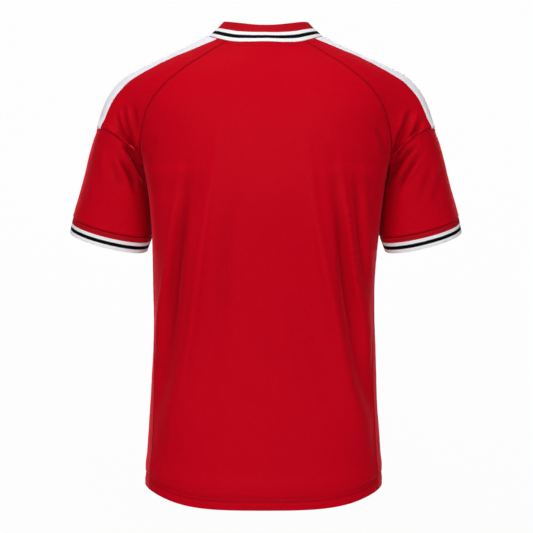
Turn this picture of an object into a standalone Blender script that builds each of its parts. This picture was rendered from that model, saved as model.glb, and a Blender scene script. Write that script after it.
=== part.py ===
"""A short-sleeved football jersey, filled out as if it were worn.

Metres, +Z up. The wearer faces +Y, so the shirt's back is towards -Y and the left sleeve is at -X.
The origin is where the shirt hangs: midway between the two points where the collar crosses the shoulders.

Every panel is one smooth cloth wall. Above the underarm, rings run round both shoulders as on a raglan
yoke knitted from the neck down. Below it they part into one ring for the body and one for each sleeve.
"""

import math
from collections import namedtuple

import bmesh
import bpy
import numpy as np

# Cloth
CLOTH = 0.0015  # wall of the knitted body cloth
RIB = 0.0018  # wall of the doubled rib in collar and cuffs
BAND = 0.001  # wall of the shoulder band
SEAM_GAP = 0.0003  # between two pieces that are sewn together
LIFT = 0.0003  # between the sleeve and the band that lies on it

# Size of the body at the chest, as an ellipse that gives the directions away from its middle
CHEST_HALF_WIDTH = 0.18
CHEST_HALF_DEPTH = 0.12

# Height of each level
UNDERARM_Z = -0.203
HEM_Z = -0.662  # at the side seams
HEM_DROP_BACK = 0.0285  # how far the curved hem falls below that at centre back
HEM_DROP_FRONT = 0.010
HEM_SQUARENESS = 3.8  # exponent of the hem's curve from side to centre
HEM_START_Z = -0.45  # rows begin to follow the hem's curve here
HEM_TURN = 0.017  # the turned-up hem, from its stitching to its edge
HEM_GROOVE = 0.0008  # how deep the hem's stitching pulls in
HEM_GROOVE_WIDTH = 0.005
SWAY = 0.003  # the body hangs this far towards its left, below the sleeves
SWAY_START_Z = -0.23
SWAY_END_Z = -0.40

BAND_WIDTH = 0.066
BAND_START = 0.001  # how far the band's end stays from the neck seam
SEAM_EDGE = 0.003  # the narrow first row of quads beside each seam
UNDERARM_SPAN = 0.03  # the length of a sleeve's seam that counts as underarm, at each end

# Number of quads
YOKE_ROWS = 12
BODY_ROWS = 15
BACK_COLUMNS = 20  # from centre back to one side
FRONT_COLUMNS = 11
SLEEVE_SIDE_COLUMNS = 5  # from a raglan seam to the shoulder band
BAND_COLUMNS = 4
SLEEVE_ROWS = 6
CUFF_ROWS = 3
COLLAR_ROWS = 4
COLLAR_COLUMNS = 11  # in each quarter of the neck

# A raglan seam, from neck (share 0) to underarm (share 1), on the right-hand side of the shirt. heading is
# the way that a ring crosses the seam, in degrees from +X towards +Y, and rise its climb. pinch is how far
# the sleeve turns back from that at the seam, which makes the crease above the armpit.
Raglan = namedtuple("Raglan", "share x y z heading rise pinch")
BACK_RAGLAN = [
    Raglan(0.00, 0.0580, -0.051, -0.0095, 35, 0.25, 0),
    Raglan(0.12, 0.0822, -0.063, -0.0264, 31, 0.32, 0),
    Raglan(0.30, 0.1222, -0.077, -0.0532, 28, 0.42, 0),
    Raglan(0.45, 0.1515, -0.079, -0.0790, 31, 0.45, 0),
    Raglan(0.57, 0.1695, -0.073, -0.1040, 40, 0.42, 12),
    Raglan(0.70, 0.1810, -0.057, -0.1360, 52, 0.34, 45),
    Raglan(0.84, 0.1855, -0.036, -0.1690, 70, 0.20, 102),
    Raglan(0.92, 0.1840, -0.020, -0.1870, 81, 0.10, 140),
    Raglan(1.00, 0.1810, 0.000, -0.2030, 90, 0.00, 180),
]
FRONT_RAGLAN = [
    Raglan(0.00, 0.0720, 0.044, -0.0300, 130, -0.55, 0),
    Raglan(0.12, 0.0910, 0.060, -0.0460, 142, -0.50, 0),
    Raglan(0.30, 0.1250, 0.077, -0.0700, 150, -0.45, 0),
    Raglan(0.45, 0.1515, 0.080, -0.0940, 149, -0.45, 0),
    Raglan(0.57, 0.1675, 0.074, -0.1160, 141, -0.42, 12),
    Raglan(0.70, 0.1780, 0.060, -0.1440, 128, -0.34, 45),
    Raglan(0.84, 0.1825, 0.038, -0.1730, 110, -0.20, 102),
    Raglan(0.92, 0.1825, 0.021, -0.1890, 99, -0.10, 140),
    Raglan(1.00, 0.1810, 0.000, -0.2030, 90, 0.00, 180),
]

# The top of the shoulder and outside of the arm, from the collar to the seam across the sleeve. behind is
# how far back from there the band reaches. The rest of its width lies in front.
Ridge = namedtuple("Ridge", "share x z behind")
SHOULDER_RIDGE = [
    Ridge(0.00, 0.0865, 0.0020, 0.042),
    Ridge(0.12, 0.1110, -0.0112, 0.044),
    Ridge(0.30, 0.1475, -0.0290, 0.045),
    Ridge(0.45, 0.1787, -0.0430, 0.042),
    Ridge(0.57, 0.2033, -0.0548, 0.037),
    Ridge(0.70, 0.2247, -0.0742, 0.034),
    Ridge(0.84, 0.2402, -0.1015, 0.033),
    Ridge(0.92, 0.2458, -0.1182, 0.032),
    Ridge(1.00, 0.2510, -0.1365, 0.029),
]

# Centre back and centre front of the yoke rings. fullness above 1 squares the ring's curve off.
Centre = namedtuple("Centre", "share y z fullness")
CENTRE_BACK = [
    Centre(0.00, -0.070, -0.0125, 1.00),
    Centre(0.12, -0.079, -0.0330, 1.00),
    Centre(0.30, -0.093, -0.0660, 1.01),
    Centre(0.45, -0.102, -0.0950, 1.03),
    Centre(0.57, -0.109, -0.1190, 1.05),
    Centre(0.70, -0.115, -0.1450, 1.07),
    Centre(0.84, -0.119, -0.1730, 1.10),
    Centre(1.00, -0.121, -0.2030, 1.12),
]
CENTRE_FRONT = [
    Centre(0.00, 0.085, -0.0800, 1.30),
    Centre(0.12, 0.092, -0.0940, 1.22),
    Centre(0.30, 0.102, -0.1150, 1.14),
    Centre(0.45, 0.109, -0.1335, 1.10),
    Centre(0.57, 0.114, -0.1490, 1.08),
    Centre(0.70, 0.118, -0.1660, 1.08),
    Centre(0.84, 0.121, -0.1840, 1.10),
    Centre(1.00, 0.122, -0.2030, 1.12),
]

# Body rings from the underarm down, each at a distance down from the origin. widest_y is where the ring is
# half_width wide, seam_behind how far behind that point the side seam runs.
Body = namedtuple("Body", "down half_width widest_y back_y front_y seam_behind")
BODY_RINGS = [
    Body(0.203, 0.1810, 0.000, -0.121, 0.1220, 0.000),
    Body(0.220, 0.1768, -0.010, -0.121, 0.1222, 0.002),
    Body(0.240, 0.1738, -0.018, -0.1205, 0.122, 0.004),
    Body(0.270, 0.1698, -0.023, -0.1185, 0.1212, 0.007),
    Body(0.310, 0.1664, -0.024, -0.115, 0.119, 0.011),
    Body(0.370, 0.1642, -0.022, -0.111, 0.115, 0.018),
    Body(0.440, 0.1640, -0.018, -0.107, 0.112, 0.026),
    Body(0.510, 0.1662, -0.014, -0.108, 0.112, 0.034),
    Body(0.580, 0.1706, -0.011, -0.113, 0.1135, 0.042),
    Body(0.630, 0.1744, -0.009, -0.117, 0.115, 0.047),
    Body(0.700, 0.1785, -0.008, -0.121, 0.117, 0.050),
]
BODY_FULLNESS = CENTRE_BACK[-1].fullness

# Sleeve rings from the seam across the sleeve (share 0) to the cuff's seam (share 1) and the cuff's edge
# (share 1.2). outer and inner are the ring's ends away from and next to the body. The tilts are degrees of
# climb: outer_tilt going forwards over the outer end, back_tilt and front_tilt leaving the inner end.
Sleeve = namedtuple(
    "Sleeve", "share outer_x outer_z inner_x inner_z centre_y half_depth outer_tilt back_tilt front_tilt"
)
SLEEVE_RINGS = [
    Sleeve(0.0, 0.2510, -0.1365, 0.1815, -0.2030, 0.000, 0.0520, -6, 32, 14),
    Sleeve(0.2, 0.2610, -0.1630, 0.1777, -0.2210, 0.008, 0.0540, 0, 18, 12),
    Sleeve(0.4, 0.2688, -0.1900, 0.1722, -0.2400, 0.014, 0.0555, 5, 6, 10),
    Sleeve(0.6, 0.2758, -0.2155, 0.1703, -0.2580, 0.018, 0.0560, 8, -4, 10),
    Sleeve(0.8, 0.2834, -0.2405, 0.1692, -0.2770, 0.021, 0.0560, 10, -9, 11),
    Sleeve(1.0, 0.2906, -0.2655, 0.1700, -0.2945, 0.023, 0.0555, 12, -12, 12),
    Sleeve(1.2, 0.2955, -0.2872, 0.1778, -0.3165, 0.026, 0.0540, 12, -12, 12),
]
SLEEVE_END = 1.0
CUFF_END = 1.2
CUFF_INSET = 0.0006  # the rib sits this far inside the sleeve's hem

# The collar's free edge.
COLLAR_TOP_BACK = (0.0, -0.055, 0.0125)
COLLAR_TOP_SIDE = (0.0645, -0.003, 0.0222)
COLLAR_TOP_FRONT = (0.0, 0.066, -0.059)
COLLAR_FRONT_FULLNESS = 1.12
COLLAR_HOLLOW = 0.0008  # how far the rib bows inwards half way up
COLLAR_CLEAR = 0.0006  # the collar turns inwards at its seam, so its wall needs this much more room there

# Broad folds of the body, as (x, z) down the shirt on its back or front. height is how far the cloth stands
# out, or sinks in if negative, and spread the fold's half width.
Fold = namedtuple("Fold", "side height spread path")
BODY_FOLDS = [
    Fold("back", 0.0050, 0.010, [(-0.124, -0.190), (-0.139, -0.300), (-0.153, -0.400), (-0.160, -0.520)]),
    Fold("back", -0.0075, 0.014, [(-0.114, -0.190), (-0.131, -0.300), (-0.142, -0.400), (-0.158, -0.560)]),
    Fold("back", 0.0060, 0.016, [(-0.073, -0.165), (-0.091, -0.290), (-0.105, -0.420), (-0.147, -0.615)]),
    Fold("back", -0.0027, 0.018, [(-0.048, -0.200), (-0.058, -0.300), (-0.070, -0.430), (-0.100, -0.580)]),
    Fold("back", 0.0055, 0.010, [(0.108, -0.190), (0.123, -0.300), (0.141, -0.400), (0.157, -0.525)]),
    Fold("back", -0.0072, 0.013, [(0.096, -0.200), (0.115, -0.300), (0.128, -0.410), (0.153, -0.565)]),
    Fold("back", 0.0055, 0.015, [(0.064, -0.155), (0.077, -0.290), (0.101, -0.425), (0.152, -0.625)]),
    Fold("back", -0.0027, 0.018, [(0.045, -0.190), (0.056, -0.300), (0.070, -0.430), (0.104, -0.585)]),
    Fold("front", 0.0051, 0.016, [(-0.118, -0.200), (-0.130, -0.320), (-0.142, -0.440), (-0.152, -0.560)]),
    Fold("front", -0.0061, 0.017, [(-0.090, -0.210), (-0.100, -0.320), (-0.115, -0.440), (-0.136, -0.590)]),
    Fold("front", 0.0046, 0.018, [(-0.058, -0.190), (-0.066, -0.320), (-0.082, -0.460), (-0.118, -0.630)]),
    Fold("front", 0.0049, 0.016, [(0.120, -0.205), (0.131, -0.320), (0.143, -0.440), (0.153, -0.550)]),
    Fold("front", -0.0057, 0.017, [(0.093, -0.200), (0.102, -0.320), (0.117, -0.440), (0.138, -0.580)]),
    Fold("front", 0.0049, 0.018, [(0.060, -0.200), (0.069, -0.320), (0.086, -0.460), (0.121, -0.620)]),
]
FOLD_FADE = 0.075  # a fold grows from nothing over this length at each end
FOLD_CLEAR = 0.018  # and sinks to nothing over this length beside a seam

RED = (0.50, 0.006, 0.014)
WHITE = (0.80, 0.80, 0.82)


def smooth(stations, values, at):
    """The value at a place along a table, on a smooth curve through every row."""
    stations = np.asarray(stations, float)
    values = np.asarray(values, float)
    slopes = np.gradient(values, stations)
    at = np.clip(at, stations[0], stations[-1])
    i = np.clip(np.searchsorted(stations, at) - 1, 0, len(stations) - 2)
    step = stations[i + 1] - stations[i]
    t = (at - stations[i]) / step
    return (
        (2 * t**3 - 3 * t**2 + 1) * values[i]
        + (t**3 - 2 * t**2 + t) * step * slopes[i]
        + (3 * t**2 - 2 * t**3) * values[i + 1]
        + (t**3 - t**2) * step * slopes[i + 1]
    )


def read(table, at):
    """One row of a table at a place between its rows."""
    kind = type(table[0])
    stations = [row[0] for row in table]
    columns = [smooth(stations, [row[i] for row in table], at) for i in range(1, len(kind._fields))]
    return kind(at, *columns)


def eased(share):
    """A share from 0 to 1 that starts and stops softly."""
    share = np.clip(share, 0, 1)
    return share * share * (3 - 2 * share)


def way(heading, rise=0.0):
    """Unit vector with a heading in degrees from +X towards +Y and a climb per unit of length."""
    angle = math.radians(heading)
    vector = np.array([math.cos(angle), math.sin(angle), rise])
    return vector / np.linalg.norm(vector)


def arc(start, start_way, end, end_way, turn=None, fullness=1.0, samples=61):
    """A rounded run of cloth that leaves start along start_way and reaches end along end_way.

    turn is the angle in degrees that it bends through, worked out from the two ways unless it is given.
    """
    start, end = np.asarray(start, float), np.asarray(end, float)
    if turn is None:
        turn = math.degrees(math.acos(np.clip(start_way @ end_way, -1, 1)))
    reach = fullness * np.linalg.norm(end - start) / (3 * math.cos(math.radians(turn) / 4) ** 2)
    first = start + start_way * reach
    second = end - end_way * reach
    t = np.linspace(0, 1, samples)[:, None]
    return (1 - t) ** 3 * start + 3 * (1 - t) ** 2 * t * first + 3 * (1 - t) * t**2 * second + t**3 * end


def joined(*runs):
    """Runs of points end to end, each shared point kept once."""
    return np.concatenate([runs[0]] + [run[1:] for run in runs[1:]])


def lengths(points):
    """Distance along a run of points at each of them."""
    return np.concatenate([[0], np.cumsum(np.linalg.norm(np.diff(points, axis=0), axis=1))])


def at_length(points, along):
    """Points of a run at the given distances along it."""
    total = lengths(points)
    return np.stack([np.interp(along, total, points[:, i]) for i in range(3)], axis=1)


def spaced(points, count, start_seam=False, end_seam=False):
    """count equal steps along a run of points. A seam at an end adds its gap and a narrow step beside it."""
    total = lengths(points)[-1]
    first = 0.5 * SEAM_GAP if start_seam else 0.0
    last = total - (0.5 * SEAM_GAP if end_seam else 0.0)
    inner_first = first + SEAM_EDGE if start_seam else first
    inner_last = last - SEAM_EDGE if end_seam else last
    along = list(np.linspace(inner_first, inner_last, count + 1))
    if start_seam:
        along.insert(0, first)
    if end_seam:
        along.append(last)
    return at_length(points, along)


def mirrored(points):
    """The same run on the other side of the shirt."""
    return points * np.array([-1, 1, 1])


# Rings


def yoke_run(share):
    """A yoke ring's back, sleeve and front runs on the right-hand side."""
    back, front = read(BACK_RAGLAN, share), read(FRONT_RAGLAN, share)
    ridge = read(SHOULDER_RIDGE, share)
    centre_back, centre_front = read(CENTRE_BACK, share), read(CENTRE_FRONT, share)
    back_point, front_point = np.array(back[1:4]), np.array(front[1:4])
    ridge_point = np.array((ridge.x, 0.0, ridge.z))
    back_centre = (0, centre_back.y, centre_back.z)
    front_centre = (0, centre_front.y, centre_front.z)
    back_way, front_way = way(back.heading, back.rise), way(front.heading, front.rise)
    back_run = arc(back_centre, way(0), back_point, back_way, fullness=centre_back.fullness)
    front_run = arc(front_point, front_way, front_centre, way(180), fullness=centre_front.fullness)

    # The sleeve turns back from the body at each raglan seam, more and more towards the underarm, where its
    # ring becomes the lower sleeve's first one.
    armhole = SLEEVE_RINGS[0]
    armhole_fullness = armhole.half_depth / half_length(armhole)
    over = way(90, share**4 * math.tan(math.radians(armhole.outer_tilt)))
    sleeve_fullness = 1 + (armhole_fullness - 1) * share**2
    folded_back = np.clip(back.pinch / 180, 0, 1)
    clear = np.array([SEAM_GAP * folded_back, 0, 0])
    back_heading, front_heading = back.heading - back.pinch, front.heading + front.pinch
    back_slope = (ridge.z - back.z) / (ridge.x - back.x)
    front_slope = (ridge.z - front.z) / (ridge.x - front.x)
    leaving = way(
        back_heading,
        (1 - folded_back) * back.rise
        + folded_back * back_slope * math.cos(math.radians(back_heading))
        + folded_back**4 * math.tan(math.radians(armhole.back_tilt)),
    )
    arriving = way(
        front_heading,
        (1 - folded_back) * front.rise
        + folded_back * front_slope * math.cos(math.radians(front_heading))
        - folded_back**4 * math.tan(math.radians(armhole.front_tilt)),
    )
    sleeve_back = arc(
        back_point + clear, leaving, ridge_point, over, turn=90 - back_heading, fullness=sleeve_fullness
    )
    sleeve_front = arc(
        ridge_point, over, front_point + clear, arriving, turn=front_heading - 90, fullness=sleeve_fullness
    )
    return back_run, sleeve_back, sleeve_front, front_run


def half_length(ring):
    """Half the distance between a sleeve ring's inner and outer ends."""
    return 0.5 * math.hypot(ring.outer_x - ring.inner_x, ring.outer_z - ring.inner_z)


def body_run(z):
    """A body ring's back and front runs on the right-hand side, each ending at the side seam."""
    ring = read(BODY_RINGS, -z)
    widest = np.array([ring.half_width, ring.widest_y, z])
    back = arc((0, ring.back_y, z), way(0), widest, way(90), fullness=BODY_FULLNESS)
    front = arc(widest, way(90), (0, ring.front_y, z), way(180), fullness=BODY_FULLNESS)
    half = joined(back, front)
    seam = lengths(back)[-1] - ring.seam_behind
    back_run = at_length(half, np.linspace(0, seam, 81))
    front_run = at_length(half, np.linspace(seam, lengths(half)[-1], 81))
    return back_run, front_run


def sleeve_run(share):
    """A sleeve ring on the right-hand side: its back from the inner end to the outer, then its front."""
    ring = read(SLEEVE_RINGS, share)
    inner = np.array([ring.inner_x, ring.centre_y, ring.inner_z])
    outer = np.array([ring.outer_x, ring.centre_y, ring.outer_z])
    outer_climb, back_climb, front_climb = (
        math.tan(math.radians(tilt)) for tilt in (ring.outer_tilt, ring.back_tilt, ring.front_tilt)
    )
    fullness = ring.half_depth / half_length(ring)
    over = way(90, outer_climb)
    back = arc(inner, way(-90, back_climb), outer, over, turn=180, fullness=fullness)
    front = arc(outer, over, inner, way(-90, -front_climb), turn=180, fullness=fullness)
    return back, front


# Folds


def fold_height(side, x, z):
    """How far the body's broad folds lift the cloth at a place on its back or front."""
    total = 0.0
    for fold in BODY_FOLDS:
        if fold.side != side:
            continue
        downs = [-place[1] for place in fold.path]
        middle = smooth(downs, [place[0] for place in fold.path], -z)
        inside = min(-z - downs[0], downs[-1] + z)
        total += fold.height * eased(inside / FOLD_FADE) * math.exp(-(((x - middle) / fold.spread) ** 2))
    return total


def outwards(point):
    """Level direction away from the middle of the body."""
    x, y, _ = point
    vector = np.array([x / CHEST_HALF_WIDTH**2, y / CHEST_HALF_DEPTH**2, 0.0])
    return vector / np.linalg.norm(vector)


def folded(grid, side):
    """A body panel's grid with its folds raised, level at the seams along its sides."""
    moved = grid.copy()
    for i, row in enumerate(grid):
        along = lengths(row)
        level = eased(np.minimum(along, along[-1] - along) / FOLD_CLEAR)
        for j, point in enumerate(row):
            moved[i, j] += outwards(point) * level[j] * fold_height(side, point[0], point[2])
    return moved


# Panels as grids of points, a row for each ring


def yoke_shares():
    """Shares of the yoke rings, from the neck seam to the underarm."""
    return np.linspace(0, 1, YOKE_ROWS + 1)


def unit(vectors):
    """Vectors scaled to length 1."""
    return vectors / np.linalg.norm(vectors, axis=-1, keepdims=True)


def square_to(row, ways):
    """Unit vectors near the given ones but square to a row of points."""
    along = unit(np.gradient(row, axis=0))
    return unit(ways - along * np.sum(ways * along, axis=1, keepdims=True))


def neck_seam(rows):
    """A panel's rows with the neck seam's gap and a narrow row at the start."""
    on = square_to(rows[0], rows[1] - rows[0])
    gap = 0.5 * SEAM_GAP
    return np.array([rows[0] + on * gap, rows[0] + on * (gap + SEAM_EDGE), *rows[1:]])


def sewn(above, below):
    """Two panels' rows where the last row of one meets the first of the other at a seam.

    The narrow rows on both sides of the seam run the same way, so the two walls' edges are parallel. At the
    underarm they follow the lower panel, which stays clear of the body.
    """
    along = lengths(below[0])
    share = eased(np.minimum(along, along[-1] - along) / UNDERARM_SPAN)[:, None]
    on = square_to(below[0], share * unit(above[-1] - above[-2]) + unit(below[1] - below[0]))
    gap = 0.5 * SEAM_GAP
    above = [*above[:-1], above[-1] - on * (gap + SEAM_EDGE), above[-1] - on * gap]
    below = [below[0] + on * gap, below[0] + on * (gap + SEAM_EDGE), *below[1:]]
    return np.array(above), np.array(below)


def hem_shape(run, z):
    """A body ring lowered towards the hem's curve, which falls further behind than in front."""
    ring = read(BODY_RINGS, -z)
    weight = eased((HEM_START_Z - z) / (HEM_START_Z - HEM_Z))
    share = np.clip(np.abs(run[:, 0]) / ring.half_width, 0, 1)
    drop = np.where(run[:, 1] < ring.widest_y, HEM_DROP_BACK, HEM_DROP_FRONT)
    shaped = run.copy()
    shaped[:, 2] -= weight * drop * (1 - share**HEM_SQUARENESS)
    return shaped


def body_levels():
    """Heights of the body rings, closer together at the hem's stitching, with how far each pulls in."""
    stitching = HEM_Z + HEM_TURN
    above = stitching + 0.5 * HEM_GROOVE_WIDTH
    below = stitching - 0.5 * HEM_GROOVE_WIDTH
    levels = [(z, 0.0) for z in np.linspace(UNDERARM_Z, above, BODY_ROWS + 1)[1:]]
    return levels + [(stitching, HEM_GROOVE), (below, 0.0), (HEM_Z, 0.0)]


def body_panel(side, columns):
    """The back or the front from neck seam to hem, across both halves."""
    halves = []
    for share in yoke_shares():
        runs = yoke_run(share)
        run = runs[0] if side == "back" else runs[3][::-1]
        halves.append(spaced(run, columns, end_seam=True))
    for z, pull in body_levels():
        back_run, front_run = body_run(z)
        run = back_run if side == "back" else front_run[::-1]
        run = hem_shape(spaced(run, columns, end_seam=True), z)
        halves.append(run - pull * np.array([outwards(point) for point in run]))
    half = neck_seam(halves)
    whole = np.concatenate([mirrored(half)[:, :0:-1], half], axis=1)
    whole[..., 0] -= SWAY * eased((SWAY_START_Z - whole[..., 2]) / (SWAY_START_Z - SWAY_END_Z))
    return folded(whole, side)


def sleeve_columns(length, start, band_width):
    """Distances along half a sleeve ring, from its seam end to the middle of the shoulder."""
    edge = 0.5 * SEAM_GAP + SEAM_EDGE
    band_edge = length - band_width
    side = np.linspace(edge, band_edge, SLEEVE_SIDE_COLUMNS + 1)
    band = np.linspace(band_edge, length, BAND_COLUMNS // 2 + 1)
    return np.concatenate([[start], side, band[1:]])


def sleeve_row(back, front, start, behind):
    """Points round a sleeve ring, from its back seam end over the band to its front seam end."""
    over_back = at_length(back, sleeve_columns(lengths(back)[-1], start, behind))
    over_front = at_length(front[::-1], sleeve_columns(lengths(front)[-1], start, BAND_WIDTH - behind))[::-1]
    return joined(over_back, over_front)


def sleeve_pieces():
    """The right shoulder piece, lower sleeve and cuff. The band lies on the shoulder's middle columns."""
    shoulder = []
    for share in yoke_shares():
        _, back, front, _ = yoke_run(share)
        shoulder.append(sleeve_row(back, front, 0.5 * SEAM_GAP, read(SHOULDER_RIDGE, share).behind))
    behind = SHOULDER_RIDGE[-1].behind
    shares = np.linspace(0, SLEEVE_END, SLEEVE_ROWS + 1)
    sleeve = [sleeve_row(*sleeve_run(share), 0.0, behind) for share in shares]
    cuff = []
    for share in np.linspace(SLEEVE_END, CUFF_END, CUFF_ROWS + 1):
        ring = sleeve_row(*sleeve_run(share), 0.0, behind)
        cuff.append(ring + unit(ring.mean(axis=0) - ring) * CUFF_INSET)
    shoulder, sleeve = sewn(neck_seam(shoulder), sleeve)
    sleeve, cuff = sewn(sleeve, cuff)
    return shoulder, sleeve[:, :-1], cuff[:, :-1]


def collar():
    """The collar's closed rings from the neck seam to its free edge."""
    back, sleeve_back, sleeve_front, front = yoke_run(0.0)
    seam = [joined(back, sleeve_back), joined(sleeve_front, front)]
    edge = [
        arc(COLLAR_TOP_BACK, way(0), COLLAR_TOP_SIDE, way(90)),
        arc(COLLAR_TOP_SIDE, way(90), COLLAR_TOP_FRONT, way(180), fullness=COLLAR_FRONT_FULLNESS),
    ]
    low = joined(*[spaced(run, COLLAR_COLUMNS) for run in seam])
    high = joined(*[spaced(run, COLLAR_COLUMNS) for run in edge])
    rows = []
    for share in np.linspace(0, 1, COLLAR_ROWS + 1):
        row = low + (high - low) * share
        bow = COLLAR_HOLLOW * 4 * share * (1 - share)
        row = row - bow * np.array([outwards(point) for point in row])
        rows.append(np.concatenate([row, mirrored(row)[-2:0:-1]]))
    rows[0] = rows[0] + unit(rows[1] - rows[0]) * COLLAR_CLEAR
    return neck_seam(rows)


def lifted(grid, height):
    """A grid moved out from the cloth it lies on."""
    normal = unit(np.cross(np.gradient(grid, axis=0), np.gradient(grid, axis=1)))
    return grid + normal * height


def flipped(grid):
    """A grid on the other side of the shirt, with its columns turned round so that it still faces out."""
    return mirrored(grid)[:, ::-1]


# Objects


def principled(name, colour, roughness):
    """A cloth material."""
    material = bpy.data.materials.new(name)
    material.use_nodes = True
    shader = material.node_tree.nodes["Principled BSDF"]
    shader.inputs["Base Color"].default_value = (*colour, 1.0)
    shader.inputs["Roughness"].default_value = roughness
    shader.inputs["Metallic"].default_value = 0.0
    return material


def cloth(name, grid, wall, material, closed=False, outside=False):
    """A cloth wall through a grid of points, thickened inwards, or outwards if outside is set."""
    rows, columns = grid.shape[:2]
    shape = bmesh.new()
    points = [[shape.verts.new(point) for point in row] for row in grid]
    last = columns if closed else columns - 1
    for i in range(rows - 1):
        for j in range(last):
            k = (j + 1) % columns
            shape.faces.new((points[i][j], points[i + 1][j], points[i + 1][k], points[i][k]))
    mesh = bpy.data.meshes.new(name)
    shape.to_mesh(mesh)
    shape.free()
    mesh.shade_smooth()
    mesh.materials.append(material)
    piece = bpy.data.objects.new(name, mesh)
    thicken = piece.modifiers.new("wall", "SOLIDIFY")
    thicken.thickness = wall
    thicken.offset = 1.0 if outside else -1.0
    return piece


def build():
    """Every piece of the jersey, in its collection and under one empty at the origin."""
    for old in list(bpy.data.objects):
        bpy.data.objects.remove(old)
    jersey = bpy.data.collections.new("jersey")
    bpy.context.scene.collection.children.link(jersey)
    hanging_point = bpy.data.objects.new("hanging_point", None)
    jersey.objects.link(hanging_point)

    red_knit = principled("red_knit", RED, 0.65)
    red_rib = principled("red_rib", RED, 0.8)
    white_knit = principled("white_knit", WHITE, 0.6)

    shoulder, sleeve, cuff = sleeve_pieces()
    first = SLEEVE_SIDE_COLUMNS + 1
    on_band = slice(first, first + BAND_COLUMNS + 1)
    pieces = [
        cloth("back", body_panel("back", BACK_COLUMNS), CLOTH, red_knit),
        cloth("front", body_panel("front", FRONT_COLUMNS)[:, ::-1], CLOTH, red_knit),
        cloth("collar", collar()[::-1], RIB, red_rib, closed=True),
    ]
    for side, turned in (("right", lambda grid: grid), ("left", flipped)):
        pieces.append(cloth(f"shoulder_{side}", turned(shoulder), CLOTH, red_knit))
        pieces.append(cloth(f"sleeve_{side}", turned(sleeve), CLOTH, red_knit, closed=True))
        pieces.append(cloth(f"cuff_{side}", turned(cuff), RIB, red_rib, closed=True))
        band = lifted(shoulder, LIFT)[:, on_band]
        band[0] += unit(band[1] - band[0]) * BAND_START
        pieces.append(cloth(f"band_{side}", turned(band), BAND, white_knit, outside=True))
    for piece in pieces:
        jersey.objects.link(piece)
        piece.parent = hanging_point


build()
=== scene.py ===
# A short-sleeved football jersey in fine red knit, filled out as it is when worn.
# Each panel takes its form from the frame's own solid. Its creases, seams and stitching are made here.
import math

import bmesh
import bpy
import numpy as np
from mathutils import Matrix, Vector
from mathutils.kdtree import KDTree


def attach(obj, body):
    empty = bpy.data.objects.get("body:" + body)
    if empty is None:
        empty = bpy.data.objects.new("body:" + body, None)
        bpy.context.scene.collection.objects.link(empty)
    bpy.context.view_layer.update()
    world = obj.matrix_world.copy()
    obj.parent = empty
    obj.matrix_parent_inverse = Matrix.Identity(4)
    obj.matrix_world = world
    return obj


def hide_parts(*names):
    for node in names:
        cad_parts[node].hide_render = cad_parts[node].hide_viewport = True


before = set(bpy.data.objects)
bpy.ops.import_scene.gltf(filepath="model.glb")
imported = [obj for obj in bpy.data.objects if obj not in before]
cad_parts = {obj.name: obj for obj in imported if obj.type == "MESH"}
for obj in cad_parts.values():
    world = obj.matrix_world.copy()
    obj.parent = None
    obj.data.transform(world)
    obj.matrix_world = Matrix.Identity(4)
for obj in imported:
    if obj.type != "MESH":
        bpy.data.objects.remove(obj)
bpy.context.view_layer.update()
print("jersey: frame loaded")

# Reading the solid panels

reading = {
    "weld": 0.00001,  # points closer than this are one
    "rim": 0.0022,  # the walls are thinner than this, and every step of their rings is longer
}


def boundaryLoop(shape, start):
    # the points round an open edge, from one of its edges
    loop = list(start.verts)
    while True:
        beside = [edge.other_vert(loop[-1]) for edge in loop[-1].link_edges if edge.is_boundary]
        following = next(vert for vert in beside if vert != loop[-2])
        if following == loop[0]:
            return loop
        loop.append(following)


def outerWall(name):
    # the outside of a solid panel, as a mesh with open edges
    shape = bmesh.new()
    shape.from_mesh(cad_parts[name].data)
    bmesh.ops.remove_doubles(shape, verts=shape.verts, dist=reading["weld"])
    rim = [f for f in shape.faces if min(edge.calc_length() for edge in f.edges) < reading["rim"]]
    bmesh.ops.delete(shape, geom=rim, context="FACES")
    middle = sum((vert.co for vert in shape.verts), Vector()) / len(shape.verts)

    def outwardness(wall):
        return sum(face.calc_area() * face.normal.dot(face.calc_center_median() - middle) for face in wall)

    walls, met = [], set()
    for face in shape.faces:
        if face in met:
            continue
        wall, waiting = [], [face]
        met.add(face)
        while waiting:
            wall.append(waiting.pop())
            for edge in wall[-1].edges:
                for other in edge.link_faces:
                    if other not in met:
                        met.add(other)
                        waiting.append(other)
        walls.append(wall)
    walls.sort(key=outwardness)
    bmesh.ops.delete(shape, geom=[face for wall in walls[:-1] for face in wall], context="FACES")
    shape.verts.index_update()
    return shape


def stepsFrom(near, start):
    # how many edges each point is away from the starting ones
    depth = dict.fromkeys(start, 0)
    front = list(start)
    while front:
        reached = []
        for point in front:
            for other in near[point]:
                if other not in depth:
                    depth[other] = depth[point] + 1
                    reached.append(other)
        front = reached
    return [depth[point] for point in range(len(near))]


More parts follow.
